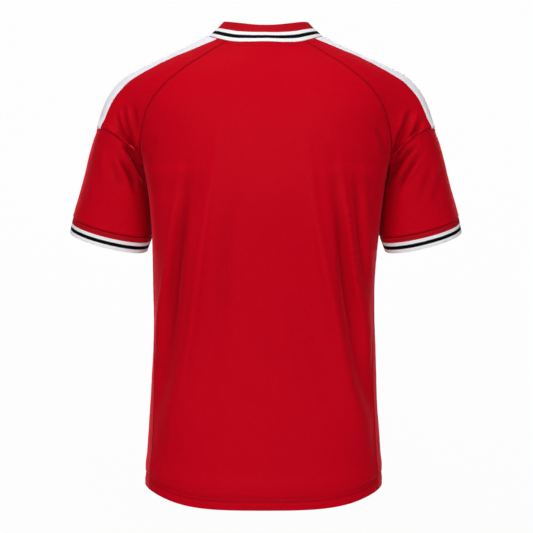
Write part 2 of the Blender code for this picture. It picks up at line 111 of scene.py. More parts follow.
def panelRows(name, leading):
    # an open panel's rows of points from its highest edge down, each running along leading
    shape = outerWall(name)
    loop = boundaryLoop(shape, next(edge for edge in shape.edges if edge.is_boundary))
    corners = [vert for vert in loop if len(vert.link_edges) < 4]
    corners = sorted(corners, key=lambda vert: sum(corner.calc_angle() for corner in vert.link_loops))[:4]
    cuts = sorted(loop.index(vert) for vert in corners)
    loop = loop[cuts[0] :] + loop[: cuts[0]]
    cuts = [cut - cuts[0] for cut in cuts] + [len(loop)]
    loop.append(loop[0])
    sides = [loop[cuts[i] : cuts[i + 1] + 1] for i in range(4)]
    top = max(range(4), key=lambda i: sum(vert.co.z for vert in sides[i]) / len(sides[i]))
    beside = [sides[(top + 1) % 4], sides[(top + 3) % 4]]
    first = min(beside, key=lambda side: sum(vert.co.dot(Vector(leading)) for vert in side) / len(side))
    near = [[edge.other_vert(vert).index for edge in vert.link_edges] for vert in shape.verts]
    row = stepsFrom(near, [vert.index for vert in sides[top]])
    column = stepsFrom(near, [vert.index for vert in first])
    rows = np.zeros((max(row) + 1, max(column) + 1, 3))
    for vert in shape.verts:
        rows[row[vert.index], column[vert.index]] = vert.co
    complete = len(shape.verts) == rows.shape[0] * rows.shape[1]
    shape.free()
    if not complete:
        raise ValueError(f"{name}: its points don't make rows and columns")
    return rows


def tubeRows(name, leading):
    # a tube's rings of points from its higher edge down, each starting at its end away from leading
    shape = outerWall(name)
    first = boundaryLoop(shape, next(edge for edge in shape.edges if edge.is_boundary))
    rest = [edge for edge in shape.edges if edge.is_boundary and edge.verts[0] not in first]
    top = max([first, boundaryLoop(shape, rest[0])], key=lambda ring: sum(vert.co.z for vert in ring))
    near = [[edge.other_vert(vert).index for edge in vert.link_edges] for vert in shape.verts]
    row = stepsFrom(near, [vert.index for vert in top])
    places = np.array([vert.co for vert in shape.verts])
    shape.free()
    rings = []
    for level in range(max(row) + 1):
        members = [i for i in range(len(places)) if row[i] == level]
        ring = [members[0]]
        while len(ring) < len(members):
            ring.append(next(i for i in near[ring[-1]] if row[i] == level and i not in ring))
        ring = places[ring]
        if rings:  # turned round to lie under the ring above
            ways = (ring, ring[::-1])
            turned = [np.roll(way, shift, axis=0) for way in ways for shift in range(len(ring))]
            ring = min(turned, key=lambda points: np.linalg.norm(points - rings[-1], axis=1).sum())
        else:
            ring = np.roll(ring, -int(np.argmin(ring @ np.array(leading))), axis=0)
            spokes = ring - ring.mean(axis=0)
            spin = np.cross(spokes, np.roll(spokes, -1, axis=0)).sum(axis=0)
            if spin[2] < 0:
                ring = np.roll(ring[::-1], 1, axis=0)
        rings.append(ring)
    return np.array(rings)


# Smooth surfaces through the rows

cloth = {
    "step": 0.003,  # the fine mesh of a panel
    "seamSteps": (0.0, 0.0005, 0.001, 0.0016, 0.0024, 0.0035, 0.005),  # finer beside its edges
    "tuck": 0.0014,  # how far each panel's edge reaches into its seam
    "wall": 0.0009,
    "rounding": {"angle": 55, "width": 0.4, "segments": 2},  # of open edges, its width a share of the wall
}


def eased(share):
    # from 0 to 1 with a soft start and end
    share = np.clip(share, 0, 1)
    return share * share * (3 - 2 * share)


def hump(distance, width):
    # 1 at no distance, falling away over the width
    return np.exp(-((distance / width) ** 2))


def unit(vectors):
    # the same directions with a length of one
    return vectors / np.linalg.norm(vectors, axis=-1, keepdims=True)


def runLength(points, axis=0):
    # distance along a line of points, or along a grid's rows or columns
    steps = np.linalg.norm(np.diff(points, axis=axis), axis=-1)
    start = np.zeros_like(np.take(steps, [0], axis=axis))
    return np.concatenate([start, np.cumsum(steps, axis=axis)], axis=axis)


def smoothAt(knots, values, places):
    # the values at some places, on a smooth curve through those at the knots
    slopes = np.gradient(values, knots, axis=0)
    i = np.clip(np.searchsorted(knots, places, side="right") - 1, 0, len(knots) - 2)
    spread = (-1,) + (1,) * (values.ndim - 1)
    step = (knots[i + 1] - knots[i]).reshape(spread)
    t = ((places - knots[i]) / (knots[i + 1] - knots[i])).reshape(spread)
    return (
        (2 * t**3 - 3 * t**2 + 1) * values[i]
        + (t**3 - 2 * t**2 + t) * step * slopes[i]
        + (3 * t**2 - 2 * t**3) * values[i + 1]
        + (t**3 - t**2) * step * slopes[i + 1]
    )


def stations(length, step):
    # places along a panel, closer together at both ends
    edge = np.array(cloth["seamSteps"])
    count = max(2, math.ceil((length - 2 * edge[-1]) / step))
    middle = np.linspace(edge[-1], length - edge[-1], count + 1)
    return np.concatenate([edge[:-1], middle, (length - edge[:-1])[::-1]])


def finePanel(name, leading, closed=False, step=None, rowStep=None):
    # a dense grid of points on the smooth surface of a solid panel
    step = step or cloth["step"]
    coarse = tubeRows(name, leading) if closed else panelRows(name, leading)
    down = runLength(coarse, 0).mean(axis=1)
    if closed:
        more = 3  # points that overlap where the rings close, so that they stay smooth there
        wrap = np.concatenate([coarse[:, -more:], coarse, coarse[:, : more + 1]], axis=1)
        across = runLength(wrap, 1).mean(axis=0)
        length = across[more + coarse.shape[1]] - across[more]
        places = across[more] + np.linspace(0, length, math.ceil(length / step) + 1)
    else:
        wrap = coarse
        across = runLength(wrap, 1).mean(axis=0)
        places = stations(across[-1], step)
    rows = smoothAt(down, wrap, stations(down[-1], rowStep or step))
    points = smoothAt(across, rows.transpose(1, 0, 2), places).transpose(1, 0, 2)
    if closed:
        points[:, -1] = points[:, 0]
    panel = {"name": name, "closed": closed, "points": points, "sign": 1.0}
    outward = (gridNormals(panel) * (points - points.mean(axis=(0, 1)))).sum()
    panel["sign"] = math.copysign(1.0, outward)
    closeGaps(panel)
    return panel


def gridNormals(panel):
    # outward directions at the panel's points
    points = panel["points"]
    down = np.gradient(points, axis=0)
    if panel["closed"]:
        wrap = np.concatenate([points[:, -2:-1], points, points[:, 1:2]], axis=1)
        across = np.gradient(wrap, axis=1)[:, 1:-1]
    else:
        across = np.gradient(points, axis=1)
    return unit(np.cross(across, down)) * panel["sign"]


def closeGaps(panel):
    # the panels' edges overlap in the seams, where the solids leave gaps
    points = panel["points"]
    points[0] -= unit(points[1] - points[0]) * cloth["tuck"]
    points[-1] += unit(points[-1] - points[-2]) * cloth["tuck"]
    if not panel["closed"]:
        points[:, 0] -= unit(points[:, 1] - points[:, 0]) * cloth["tuck"]
        points[:, -1] += unit(points[:, -1] - points[:, -2]) * cloth["tuck"]


def edgeDistances(panel):
    # how far each point lies from the panel's four edges
    down, across = runLength(panel["points"], 0), runLength(panel["points"], 1)
    far = np.ones(down.shape)  # a tube has no such edges
    return {
        "top": down,
        "bottom": down[-1:] - down,
        "first": far if panel["closed"] else across,
        "last": far if panel["closed"] else across[:, -1:] - across,
    }


# Creases, and the shade painted in their hollows and along the seams

millimetre = 0.001

creaseShape = {
    "fade": 0.42,  # share of a crease's length over which it grows at each end
    "samples": 14,
    "turn": 0.25,  # how far the cloth must face a side before that side's creases show in full
    "seamReach": 0.006,
    "deepest": 0.005,  # a fold hollow this deep gets the full painted shade
    # how strongly and how wide shade is painted along the seams
    "seamTone": 1.6,
    "seamToneWidth": 0.0026,
}

smoothing = {
    "height": 0.200,  # below the origin
    "reach": 0.070,
    "edge": 0.030,
    "passes": 120,
}

unevenCloth = {
    "waves": 6,
    "lengths": (0.7, 1.5),  # the shortest and longest wave, over the size asked for
    "sum": 2.5,  # about as high as the waves reach together
    "broad": (0.08, 0.0006, 3),  # size, height and seed
    "small": (0.027, 0.00012, 4),
}


def creaseHeights(panel, creases, side):
    # how far the creases of one side, 1 for the front and -1 for the back, move the cloth
    points, facing = panel["points"], gridNormals(panel)[..., 1] * side
    total = np.zeros(points.shape[:2])
    for tall, wide, path in creases:
        path = np.array(path, float) * millimetre
        knots = runLength(path)
        path = smoothAt(knots, path, np.linspace(0, knots[-1], creaseShape["samples"]))
        knots = runLength(path)
        nearest = np.full(total.shape, np.inf)
        share = np.zeros(total.shape)
        for i in range(len(path) - 1):
            run = path[i + 1] - path[i]
            fromStart = points[..., [0, 2]] - path[i]
            t = np.clip((fromStart @ run) / (run @ run), 0, 1)
            gap = np.linalg.norm(fromStart - t[..., None] * run, axis=-1)
            closer = gap < nearest
            nearest = np.where(closer, gap, nearest)
            share = np.where(closer, (knots[i] + t * (knots[i + 1] - knots[i])) / knots[-1], share)
        ends = eased(share / creaseShape["fade"]) * eased((1 - share) / creaseShape["fade"])
        shape = tall * hump(nearest, millimetre * wide)
        total += millimetre * ends * shape
    return total * eased(facing / creaseShape["turn"])


def drift(points, size, height, seed):
    # soft unevenness of about one size, the same each run
    chance = np.random.default_rng(seed)
    total = np.zeros(points.shape[:-1])
    for _ in range(unevenCloth["waves"]):
        way = unit(chance.normal(size=3)) * 2 * math.pi / (size * chance.uniform(*unevenCloth["lengths"]))
        total += np.sin(points @ way + chance.uniform(0, 2 * math.pi))
    return height * total / unevenCloth["sum"]


def unevenness(panel):
    # alike on both sides of every seam
    return drift(panel["points"], *unevenCloth["broad"]) + drift(panel["points"], *unevenCloth["small"])


def calmSeams(panel, sides, height):
    # creases fade out at the seams, so that the panels still meet there
    distances = edgeDistances(panel)
    for side in sides:
        height = height * eased(distances[side] / creaseShape["seamReach"])
    return height


def hollows(panel, folds, joins):
    # painted shade, from how low the cloth lies between folds and from its seams: there the colour is
    # darkened where shade falls
    depth = np.clip(-folds / creaseShape["deepest"], 0, 1)
    distances = edgeDistances(panel)
    for side in joins:
        # painted shade along each seam's groove
        paintedSeamShade = creaseShape["seamTone"] * hump(distances[side], creaseShape["seamToneWidth"])
        depth = np.maximum(depth, paintedSeamShade)
    return depth


def levelled(panel):
    # the back and front run smoothly past the armpits
    points = panel["points"]
    distances = edgeDistances(panel)
    inner = np.minimum.reduce([distances["first"], distances["last"], distances["top"]])
    weight = hump(points[..., 2] + smoothing["height"], smoothing["reach"])
    weight = weight * eased(inner / smoothing["edge"])
    for _ in range(smoothing["passes"]):
        depth = points[..., 1]
        around = 0.25 * (depth[:-2, 1:-1] + depth[2:, 1:-1] + depth[1:-1, :-2] + depth[1:-1, 2:])
        depth[1:-1, 1:-1] += weight[1:-1, 1:-1] * (around - depth[1:-1, 1:-1])


# Each crease's height, width and path as (x, z) seen from behind, in millimetres
bodyCreases = {
    "back": [
        (5.2, 4.8, [(-123, -150), (-128, -220), (-138, -293), (-147, -365), (-155, -415), (-160, -500)]),
        (-6.5, 8.0, [(-108, -165), (-119, -250), (-129, -330), (-137, -415), (-149, -510)]),
        (
            5.0,
            6.4,
            [(-62, -120), (-76, -200), (-90, -293), (-99, -365), (-106, -415), (-120, -500), (-146, -600)],
        ),
        (-1.5, 11, [(-42, -190), (-56, -300), (-64, -400), (-78, -500)]),
        (1.2, 9, [(-69, -112), (-70, -160), (-68, -205)]),
        (-1.7, 7, [(-88, -180), (-100, -240), (-108, -300)]),
        (1.4, 5, [(-134, -560), (-143, -605), (-151, -645)]),
        (1.4, 5, [(-151, -136), (-164, -168)]),
        (-1.6, 4, [(-156, -146), (-168, -176)]),
        (4.2, 6.4, [(54, -120), (64, -200), (76, -293), (90, -365), (101, -415), (116, -500), (146, -600)]),
        (5.0, 4.2, [(106, -140), (111, -220), (121, -293), (130, -365), (141, -415), (154, -500)]),
        (-5.6, 7.0, [(90, -170), (107, -280), (115, -365), (123, -415), (141, -515)]),
        (-4.0, 5.2, [(124, -170), (130, -220), (137, -293), (144, -365), (150, -415)]),
        (2.2, 5.0, [(140, -170), (145, -240), (151, -320), (155, -390)]),
        (-2.4, 4.5, [(158, -134), (168, -152), (178, -178)]),
        (1.8, 4.5, [(150, -138), (162, -160), (169, -186)]),
        (-0.8, 10, [(30, -360), (44, -460), (72, -560)]),
        (-0.7, 14, [(-20, -420), (6, -470), (34, -500)]),
        (0.7, 12, [(-40, -480), (-8, -520), (26, -545)]),
    ],
    "front": [
        (2.7, 5, [(-118, -190), (-128, -280), (-138, -370), (-148, -460), (-155, -540)]),
        (-2.5, 7, [(-104, -210), (-112, -300), (-124, -400), (-139, -500), (-148, -580)]),
        (2.0, 6, [(-66, -200), (-74, -290), (-88, -400), (-108, -500), (-135, -600)]),
        (-1.3, 9, [(-30, -250), (-34, -350), (-50, -470), (-80, -590)]),
        (2.2, 4.5, [(-162, -160), (-150, -186), (-130, -205)]),
        (-2.5, 5, [(-168, -168), (-152, -196), (-134, -222)]),
        (2.5, 5, [(120, -185), (131, -270), (141, -360), (150, -450), (157, -530)]),
        (-2.5, 7, [(105, -220), (114, -310), (127, -410), (142, -500), (150, -570)]),
        (1.8, 6, [(64, -210), (75, -300), (92, -410), (113, -510), (138, -605)]),
        (-1.3, 9, [(26, -270), (35, -380), (54, -480), (86, -580)]),
        (2.0, 4.5, [(163, -158), (148, -180), (126, -196)]),
        (-2.3, 5, [(169, -166), (154, -192), (138, -216)]),
    ],
}

# Creases that fan out from the armpits over the shoulders and sleeves
sleeveCreases = {
    "back": [
        (-6.0, 5.0, [(-216, -132), (-205, -152), (-197, -168), (-188, -187), (-181, -208), (-177, -228)]),
        (-6.0, 5.0, [(210, -128), (200, -148), (194, -164), (188, -184), (181, -204), (177, -226)]),
        (-4.2, 3.4, [(-212, -98), (-207, -122), (-202, -142), (-196, -166)]),
        (3.6, 3.0, [(-204, -100), (-200, -124), (-196, -148)]),
        (-3.4, 3.4, [(-222, -112), (-215, -134), (-206, -158)]),
        (3.0, 3.0, [(-217, -106), (-211, -130), (-203, -154)]),
        (-2.8, 3.6, [(-196, -98), (-192, -124), (-190, -150)]),
        (-7.0, 3.8, [(-214, -158), (-203, -171), (-194, -186), (-183, -212)]),
        (5.4, 3.4, [(-214, -170), (-202, -185), (-192, -205), (-185, -228)]),
        (-5.6, 3.6, [(-222, -176), (-209, -193), (-199, -212), (-190, -240)]),
        (2.8, 3.8, [(-226, -176), (-214, -198), (-204, -222), (-198, -246)]),
        (-1.8, 4.8, [(-232, -178), (-222, -206), (-212, -236)]),
        (1.6, 5.0, [(-243, -160), (-241, -192), (-240, -226)]),
        (1.2, 6.4, [(-258, -205), (-257, -232), (-258, -254)]),
        (-4.6, 3.4, [(216, -104), (208, -126), (200, -145), (191, -166)]),
        (3.8, 3.0, [(226, -108), (216, -134), (204, -160)]),
        (-3.8, 3.4, [(234, -118), (222, -140), (206, -164)]),
        (2.0, 3.4, [(236, -132), (226, -148), (214, -160)]),
        (2.4, 3.0, [(206, -104), (199, -126), (193, -146)]),
        (-7.0, 3.8, [(225, -158), (211, -174), (196, -194), (184, -214)]),
        (4.6, 3.2, [(221, -168), (204, -186), (189, -210)]),
        (-5.4, 3.8, [(234, -168), (218, -189), (203, -211), (191, -238)]),
        (2.8, 3.6, [(232, -180), (217, -200), (203, -224)]),
        (1.8, 4.0, [(252, -180), (251, -202), (248, -226)]),
        (-1.8, 5.0, [(246, -190), (236, -218), (226, -246)]),
        (-1.2, 5.6, [(258, -214), (252, -234), (245, -252)]),
    ],
    "front": [
        (-3.8, 3.6, [(-214, -100), (-208, -122), (-201, -144), (-193, -168)]),
        (3.4, 3.2, [(-222, -110), (-214, -136), (-204, -162)]),
        (-3.4, 3.6, [(-230, -122), (-220, -144), (-206, -168)]),
        (-4.8, 3.6, [(-222, -162), (-210, -178), (-198, -196), (-186, -218)]),
        (3.6, 3.4, [(-222, -178), (-209, -198), (-196, -222)]),
        (-2.5, 4.4, [(-236, -184), (-224, -208), (-212, -236)]),
        (1.6, 5.6, [(-257, -196), (-254, -226), (-253, -250)]),
        (-4.0, 3.6, [(214, -100), (207, -122), (201, -144), (192, -168)]),
        (3.4, 3.2, [(224, -110), (215, -136), (204, -160)]),
        (-3.5, 3.6, [(232, -120), (221, -144), (206, -166)]),
        (-5.0, 3.6, [(224, -160), (211, -177), (198, -197), (185, -219)]),
        (3.4, 3.4, [(222, -176), (208, -197), (195, -221)]),
        (-2.3, 4.4, [(240, -188), (227, -210), (214, -238)]),
        (1.7, 5.6, [(257, -200), (255, -226), (253, -248)]),
    ],
}

# Seams, hems and their stitching

seams = {
    "depth": 0.0017,  # how far a panel's edge rolls down into the seam
    "roll": 0.0021,
    "ridge": 0.00045,  # the turned cloth under it lifts the panel a little beside the seam
    "ridgeAt": 0.0035,
    "ridgeWidth": 0.0022,
    "lip": 0.0007,  # the sleeve's edge stands higher than the shoulder's
    "lipAt": 0.0022,
    "pucker": 0.00026,
    "puckerLength": 0.0125,
    "puckerReach": 0.010,
    "puckerFrom": 0.3,  # share of that reach at which they stand highest
    "patch": 0.05,  # the puckers come and go over about this length
    "wander": (0.03, 1.6),  # and their spacing varies over this length, by up to this angle
}

hem = {
    "turn": 0.017,  # from the hem's edge to its stitching
    "twin": 0.0045,  # between the two rows of stitching
    "grooveDepth": 0.0007,
    "grooveWidth": 0.0012,
    "swell": 0.0007,  # the cloth above the stitching rolls out over it
    "swellAt": 0.0046,
    "swellWidth": 0.0028,
    "ripple": 0.00022,
    "rippleLength": 0.011,
    "rippleReach": 0.009,
    "patch": 0.06,
    "wander": (0.04, 2.0),
    "seed": 21,
}
hemRows = (hem["turn"], hem["turn"] - hem["twin"])


def rollSeams(panel, sides, ridge=None):
    # the panel's edges roll down into their seams, with a low ridge beside them
    ridge = seams["ridge"] if ridge is None else ridge
    distances = edgeDistances(panel)
    total = np.zeros(panel["points"].shape[:2])
    for side in sides:
        gap = distances[side]
        total -= seams["depth"] * hump(gap, seams["roll"])
        total += ridge * hump(gap - seams["ridgeAt"], seams["ridgeWidth"])
    return total


def waves(panel, run, length, facts, seed):
    # uneven waves along a seam, from -1 to 1, that come and go
    points = panel["points"]
    loose = 0.5 + 0.5 * drift(points, facts["patch"], 1.0, seed)
    wave = np.sin(2 * math.pi * run / length + drift(points, *facts["wander"], seed + 1))
    return np.clip(loose, 0, 1) * wave


def puckers(panel, strengths, seed):
    # small uneven waves that run into the seams at some edges
    distances = edgeDistances(panel)
    reach = seams["puckerReach"]
    total = np.zeros(panel["points"].shape[:2])
    for i, (side, strength) in enumerate(strengths.items()):
        run = distances["top"] if side in ("first", "last") else distances["first"]
        if panel["closed"]:
            run = runLength(panel["points"], 1)
        wave = waves(panel, run, seams["puckerLength"], seams, seed + i)
        nearSeam = hump(distances[side] - seams["puckerFrom"] * reach, reach)
        total += strength * seams["pucker"] * wave * nearSeam
    return total


def stitchedHem(panel):
    # the body's turned hem: two rows of stitches pull in, and the cloth above them swells
    gap = edgeDistances(panel)["bottom"]
    total = np.zeros(gap.shape)
    for row in hemRows:
        total -= hem["grooveDepth"] * hump(gap - row, hem["grooveWidth"])
    total += hem["swell"] * hump(gap - hem["turn"] - hem["swellAt"], hem["swellWidth"])
    wave = waves(panel, runLength(panel["points"], 1), hem["rippleLength"], hem, hem["seed"])
    return total + hem["ripple"] * wave * hump(gap - hem["turn"], hem["rippleReach"])


def move(panel, height):
    # the panel's points move outwards
    panel["points"] = panel["points"] + gridNormals(panel) * height[..., None]
    if panel["closed"]:
        panel["points"][:, -1] = panel["points"][:, 0]


def treeOf(places):
    # for finding the points that lie nearest
    tree = KDTree(len(places))
    for i, place in enumerate(places):
        tree.insert(place, i)
    tree.balance()
    return tree


def closeness(panel, others, reach):
    # 1 where a panel touches the cloth of others, and 0 from the reach on
    tree = treeOf(np.concatenate([other["points"].reshape(-1, 3) for other in others]))
    points = panel["points"]
    gaps = np.array([tree.find(point)[2] for point in points.reshape(-1, 3)])
    return np.clip(1 - gaps.reshape(points.shape[:2]) / reach, 0, 1)


laying = {
    "points": 6,  # of the cloth below, that set the height at each place
    "blend": 1e-7,  # in square metres, added to their squared gaps, so that no single one decides
}


def layOn(panel, under, clearance):
    # the panel comes to lie at one height over the cloth under it
    places, normals = under["points"].reshape(-1, 3), gridNormals(under).reshape(-1, 3)
    tree = treeOf(places)
    height = np.zeros(panel["points"].shape[:2])
    for spot in np.ndindex(height.shape):
        point = panel["points"][spot]
        found = tree.find_n(point, laying["points"])
        weights = np.array([1 / (gap * gap + laying["blend"]) for _, _, gap in found])
        gaps = np.array([(point - places[i]) @ normals[i] for _, i, _ in found])
        height[spot] = clearance - weights @ gaps / weights.sum()
    move(panel, height)


# Making meshes

def meshOf(shape, name):
    mesh = bpy.data.meshes.new(name)
    shape.to_mesh(mesh)
    shape.free()
    return mesh


def addObject(name, data):
    added = bpy.data.objects.new(name, data)
    bpy.context.scene.collection.objects.link(added)
    return added


def clothMesh(panel, name, across=None):
    # a mesh through the panel's grid, with a map of the cloth in metres and the shade painted at its points
    points = panel["points"]
    rows, columns = points.shape[:2]
    if across is None:
        across = runLength(points, 1)
        across = across - across[:, columns // 2 : columns // 2 + 1]
    downward = np.broadcast_to(runLength(points, 0).mean(axis=1)[:, None], across.shape)
    shape = bmesh.new()
    bmesh.ops.create_grid(shape, x_segments=columns - 1, y_segments=rows - 1, size=1)
    if panel["sign"] < 0:
        bmesh.ops.reverse_faces(shape, faces=shape.faces)
    weave = shape.loops.layers.uv.new("weave")
    # how much shade is painted into the cloth's colour at each point
    hollow = shape.verts.layers.float.new("hollow")
    places = points.reshape(-1, 3)
    paintedShadeAmounts = panel.get("hollows", np.zeros((rows, columns))).reshape(-1)
    maps = np.stack([across, downward], axis=-1).reshape(-1, 2)
    for vert in shape.verts:
        vert.co = places[vert.index]
        vert[hollow] = paintedShadeAmounts[vert.index]
    for face in shape.faces:
        for corner in face.loops:
            corner[weave].uv = maps[corner.vert.index]
        face.smooth = True
    if panel["closed"]:
        ends = [vert for vert in shape.verts if vert.index % columns in (0, columns - 1)]
        bmesh.ops.remove_doubles(shape, verts=ends, dist=reading["weld"])
    return meshOf(shape, name)


def addPiece(name, mesh, material, wall=None, rounded=False):
    # an object that rides with the shirt, with its wall thickened inwards
    piece = addObject(name, mesh)
    mesh.materials.append(material)
    if wall:
        thicken = piece.modifiers.new("wall", "SOLIDIFY")
        thicken.thickness = wall
        thicken.offset = -1.0
    if rounded:
        soften = piece.modifiers.new("edge", "BEVEL")
        soften.limit_method = "ANGLE"
        soften.angle_limit = math.radians(cloth["rounding"]["angle"])
        soften.width = cloth["rounding"]["width"] * wall
        soften.segments = cloth["rounding"]["segments"]
    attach(piece, "root")
    return piece


stitch = {
    "pitch": 0.0031,
    "length": 0.0024,
    "width": 0.00055,
    "height": 0.0004,
    "raised": 0.3,  # its middle stands this share of its height off the cloth
    "aim": 0.3,  # it points along the line from this share of a pitch behind it to as far ahead
    "rowEnds": (0.5, 0.4),  # how many pitches a row stops short of the line's start and end
    "faces": (6, 4),  # round it and along it
}


def lineBeside(panel, side, distance):
    # the points of a panel at one distance from an edge, and the cloth's normals there
    points, normals = panel["points"], gridNormals(panel)
    if side in ("first", "last"):
        points, normals = points.transpose(1, 0, 2), normals.transpose(1, 0, 2)
    if side in ("bottom", "last"):
        points, normals = points[::-1], normals[::-1]
    gaps = runLength(points, 0)
    line, outward = [], []
    for j in range(points.shape[1]):
        line.append([np.interp(distance, gaps[:, j], points[:, j, k]) for k in range(3)])
        outward.append([np.interp(distance, gaps[:, j], normals[:, j, k]) for k in range(3)])
    return np.array(line), unit(np.array(outward))


def sewLines(shape, lines):
    # rows of short stitches lying on the cloth
    pitch = stitch["pitch"]
    before, after = stitch["rowEnds"]
    around, along = stitch["faces"]
    half = [0.5 * stitch[way] for way in ("length", "width", "height")]
    for line, outward in lines:
        run = runLength(line)
        for place in np.arange(before * pitch, run[-1] - after * pitch, pitch):
            spots = [place + way * pitch * stitch["aim"] for way in (-1, 0, 1)]
            ends = [np.array([np.interp(spot, run, line[:, k]) for k in range(3)]) for spot in spots]
            up = Vector([np.interp(place, run, outward[:, k]) for k in range(3)]).normalized()
            ahead = Vector(ends[2] - ends[0]).normalized()
            turn = Matrix((ahead, up.cross(ahead).normalized(), up)).transposed().to_4x4()
            put = Matrix.Translation(ends[1] + np.array(up) * stitch["raised"] * stitch["height"])
            put = put @ turn @ Matrix.Diagonal((*half, 1.0))
            bmesh.ops.create_uvsphere(shape, u_segments=around, v_segments=along, radius=1.0, matrix=put)


def stitching(name, lines, material):
    # one piece of all the stitches along some lines
    shape = bmesh.new()
    sewLines(shape, lines)
    for face in shape.faces:
        face.smooth = True
    return addPiece(name, meshOf(shape, name), material)


# Materials

class Wire:
    # a socket of a material's nodes, on which sums and products add Math nodes
    def __init__(self, tree, socket=None):
        self.tree = tree
        self.socket = socket

    def add(self, kind, settings=None, sockets=None, output=0):
        node = self.tree.nodes.new(kind)
        for name, value in (settings or {}).items():
            setattr(node, name, value)
        for name, value in (sockets or {}).items():
            socket = node.inputs[name]
            if isinstance(value, Wire):
                self.tree.links.new(value.socket, socket)
            else:
                socket.default_value = value
        return Wire(self.tree, node.outputs[output])

    def maths(self, operation, *others):
        return self.add("ShaderNodeMath", {"operation": operation}, dict(enumerate((self, *others))))

    def swapped(self, operation, other):
        return self.add("ShaderNodeMath", {"operation": operation}, {0: other, 1: self})

    def __add__(self, other):
        return self.maths("ADD", other)

    def __radd__(self, other):
        return self.swapped("ADD", other)

    def __sub__(self, other):
        return self.maths("SUBTRACT", other)

    def __rsub__(self, other):
        return self.swapped("SUBTRACT", other)

    def __mul__(self, other):
        return self.maths("MULTIPLY", other)

    def __rmul__(self, other):
        return self.swapped("MULTIPLY", other)

    def __truediv__(self, other):
        return self.maths("DIVIDE", other)

    def __rtruediv__(self, other):
        return self.swapped("DIVIDE", other)

    def sine(self):
        return self.maths("SINE")

    def clamped(self):
        return self.add("ShaderNodeClamp", {}, {"Value": self})


def mixed(share, one, other, blend="MIX"):
    # a colour between two, more like the other as the share grows; 6 and 7 are the colour sockets
    settings = {"data_type": "RGBA", "blend_type": blend}
    return share.add("ShaderNodeMix", settings, {0: share, 6: one, 7: other}, output=2)


def objectPlace(start):
    # places on the piece, in metres
    return start.add("ShaderNodeTexCoord", output=3)


def clothPlace(start):
    # metres across the cloth and down it, on the piece's own map
    place = start.add("ShaderNodeUVMap", {"uv_map": "weave"})
    return [start.add("ShaderNodeSeparateXYZ", {}, {0: place}, output=axis) for axis in (0, 1)]


def noise(start, scale, detail=2.0):
    sockets = {"Vector": objectPlace(start), "Scale": scale, "Detail": detail}
    return start.add("ShaderNodeTexNoise", {}, sockets)


def bump(start, strength, distance, height):
    return start.add("ShaderNodeBump", {}, {"Strength": strength, "Distance": distance, "Height": height})


redKnit = {
    "colour": (0.54, 0.0008, 0.0105, 1.0),
    "deep": (0.45, 0.0005, 0.0080, 1.0),
    "deepest": (0.24, 0.0003, 0.0045, 1.0),  # painted shade: the colour in the hollows between folds, in the seams, the hem's grooves and under the arms
    "hollow": 0.5,
    "patchScale": 9.0,
    "patchDetail": 3.0,
    "fleckScale": 420.0,
    "tone": {"patch": 0.4, "fleck": 1.3, "loops": 0.4},  # what each adds to the deep colour's share: patch and fleck are random tone, and loops paints shade between the knit's loops
    "roughness": 0.5,
    "roughnessOf": {"fleck": 0.10, "loops": 0.05},
    "wale": 0.0011,  # one column of loops
    "course": 0.0009,
    "bump": 0.35,
    "relief": 0.00025,
    "fleckRelief": 0.4,
    "sheen": 0.7,
    "sheenRoughness": 0.3,
    "sheenTint": (0.9, 0.03, 0.06, 1.0),
    "gloss": 0.02,
}

whiteKnit = {
    "colour": (0.87, 0.86, 0.91, 1.0),
    "shade": (0.80, 0.79, 0.85, 1.0),
    "fleckScale": 600.0,
    "tone": {"fleck": 0.3, "loops": 0.5},
    "roughness": 0.55,
    "roughnessOf": {"fleck": 0.1},
    "wale": 0.0009,
    "course": 0.0009,
    "bump": 0.35,
    "relief": 0.00008,
    "sheen": 0.05,
    "gloss": 0.2,
}

rib = {
    "red": (0.47, 0.0035, 0.012, 1.0),
    "white": (0.90, 0.90, 0.92, 1.0),
    "black": (0.003, 0.003, 0.003, 1.0),
    "shade": (0.72, 0.72, 0.74, 1.0),  # multiplies the colour between the loops
    "pitch": 0.0022,
    "course": 0.0012,
    "fuzzScale": 1200.0,
    "stripeEdge": 0.0003,
    "wander": {"loops": 0.0004, "fuzz": 0.0005},  # how unevenly the loops end a stripe
    "tone": {"loops": 0.25, "fuzz": 0.15},
    "roughness": 0.62,
    "roughnessOf": {"fuzz": 0.12},
    "bump": 0.5,
    "relief": 0.00015,
    "fuzzRelief": 0.3,
    "gloss": 0.03,
}

thread = {
    "red": (0.34, 0.0008, 0.006, 1.0),
    "white": (0.86, 0.85, 0.90, 1.0),
    "shade": 0.7,
    "plyScale": 2500.0,
    "plyDetail": 1.0,
    "roughness": 0.5,
    "roughnessOf": {"ply": 0.2},
    "bump": 0.4,
    "relief": 0.00005,
    "gloss": 0.08,
}


def newMaterial(name):
    material = bpy.data.materials.new(name)
    material.use_nodes = True
    return material, Wire(material.node_tree), material.node_tree.nodes["Principled BSDF"]


def plug(shader, **sockets):
    # links and values for the shader, its sockets' names written without spaces
    for name, value in sockets.items():
        socket = next(s for s in shader.inputs if s.name.replace(" ", "").lower() == name.lower())
        if isinstance(value, Wire):
            value.tree.links.new(value.socket, socket)
        else:
            socket.default_value = value


knit = {
    "lean": 0.9,  # how far the two legs of a loop lean against each other
    "column": 0.6,  # share of the relief in the columns, the rest in the rows
}


def knitLoops(start, wale, course):
    # height of the loops of a plain knit, from 0 to 1
    across, down = clothPlace(start)
    turn = across * (2 * math.pi / wale)
    lean = (turn * 2.0).sine() * knit["lean"]
    rows = (down * (2 * math.pi / course) + lean).sine()
    return (turn.sine() * 0.5 + 0.5) * knit["column"] + (rows * 0.5 + 0.5) * (1 - knit["column"])


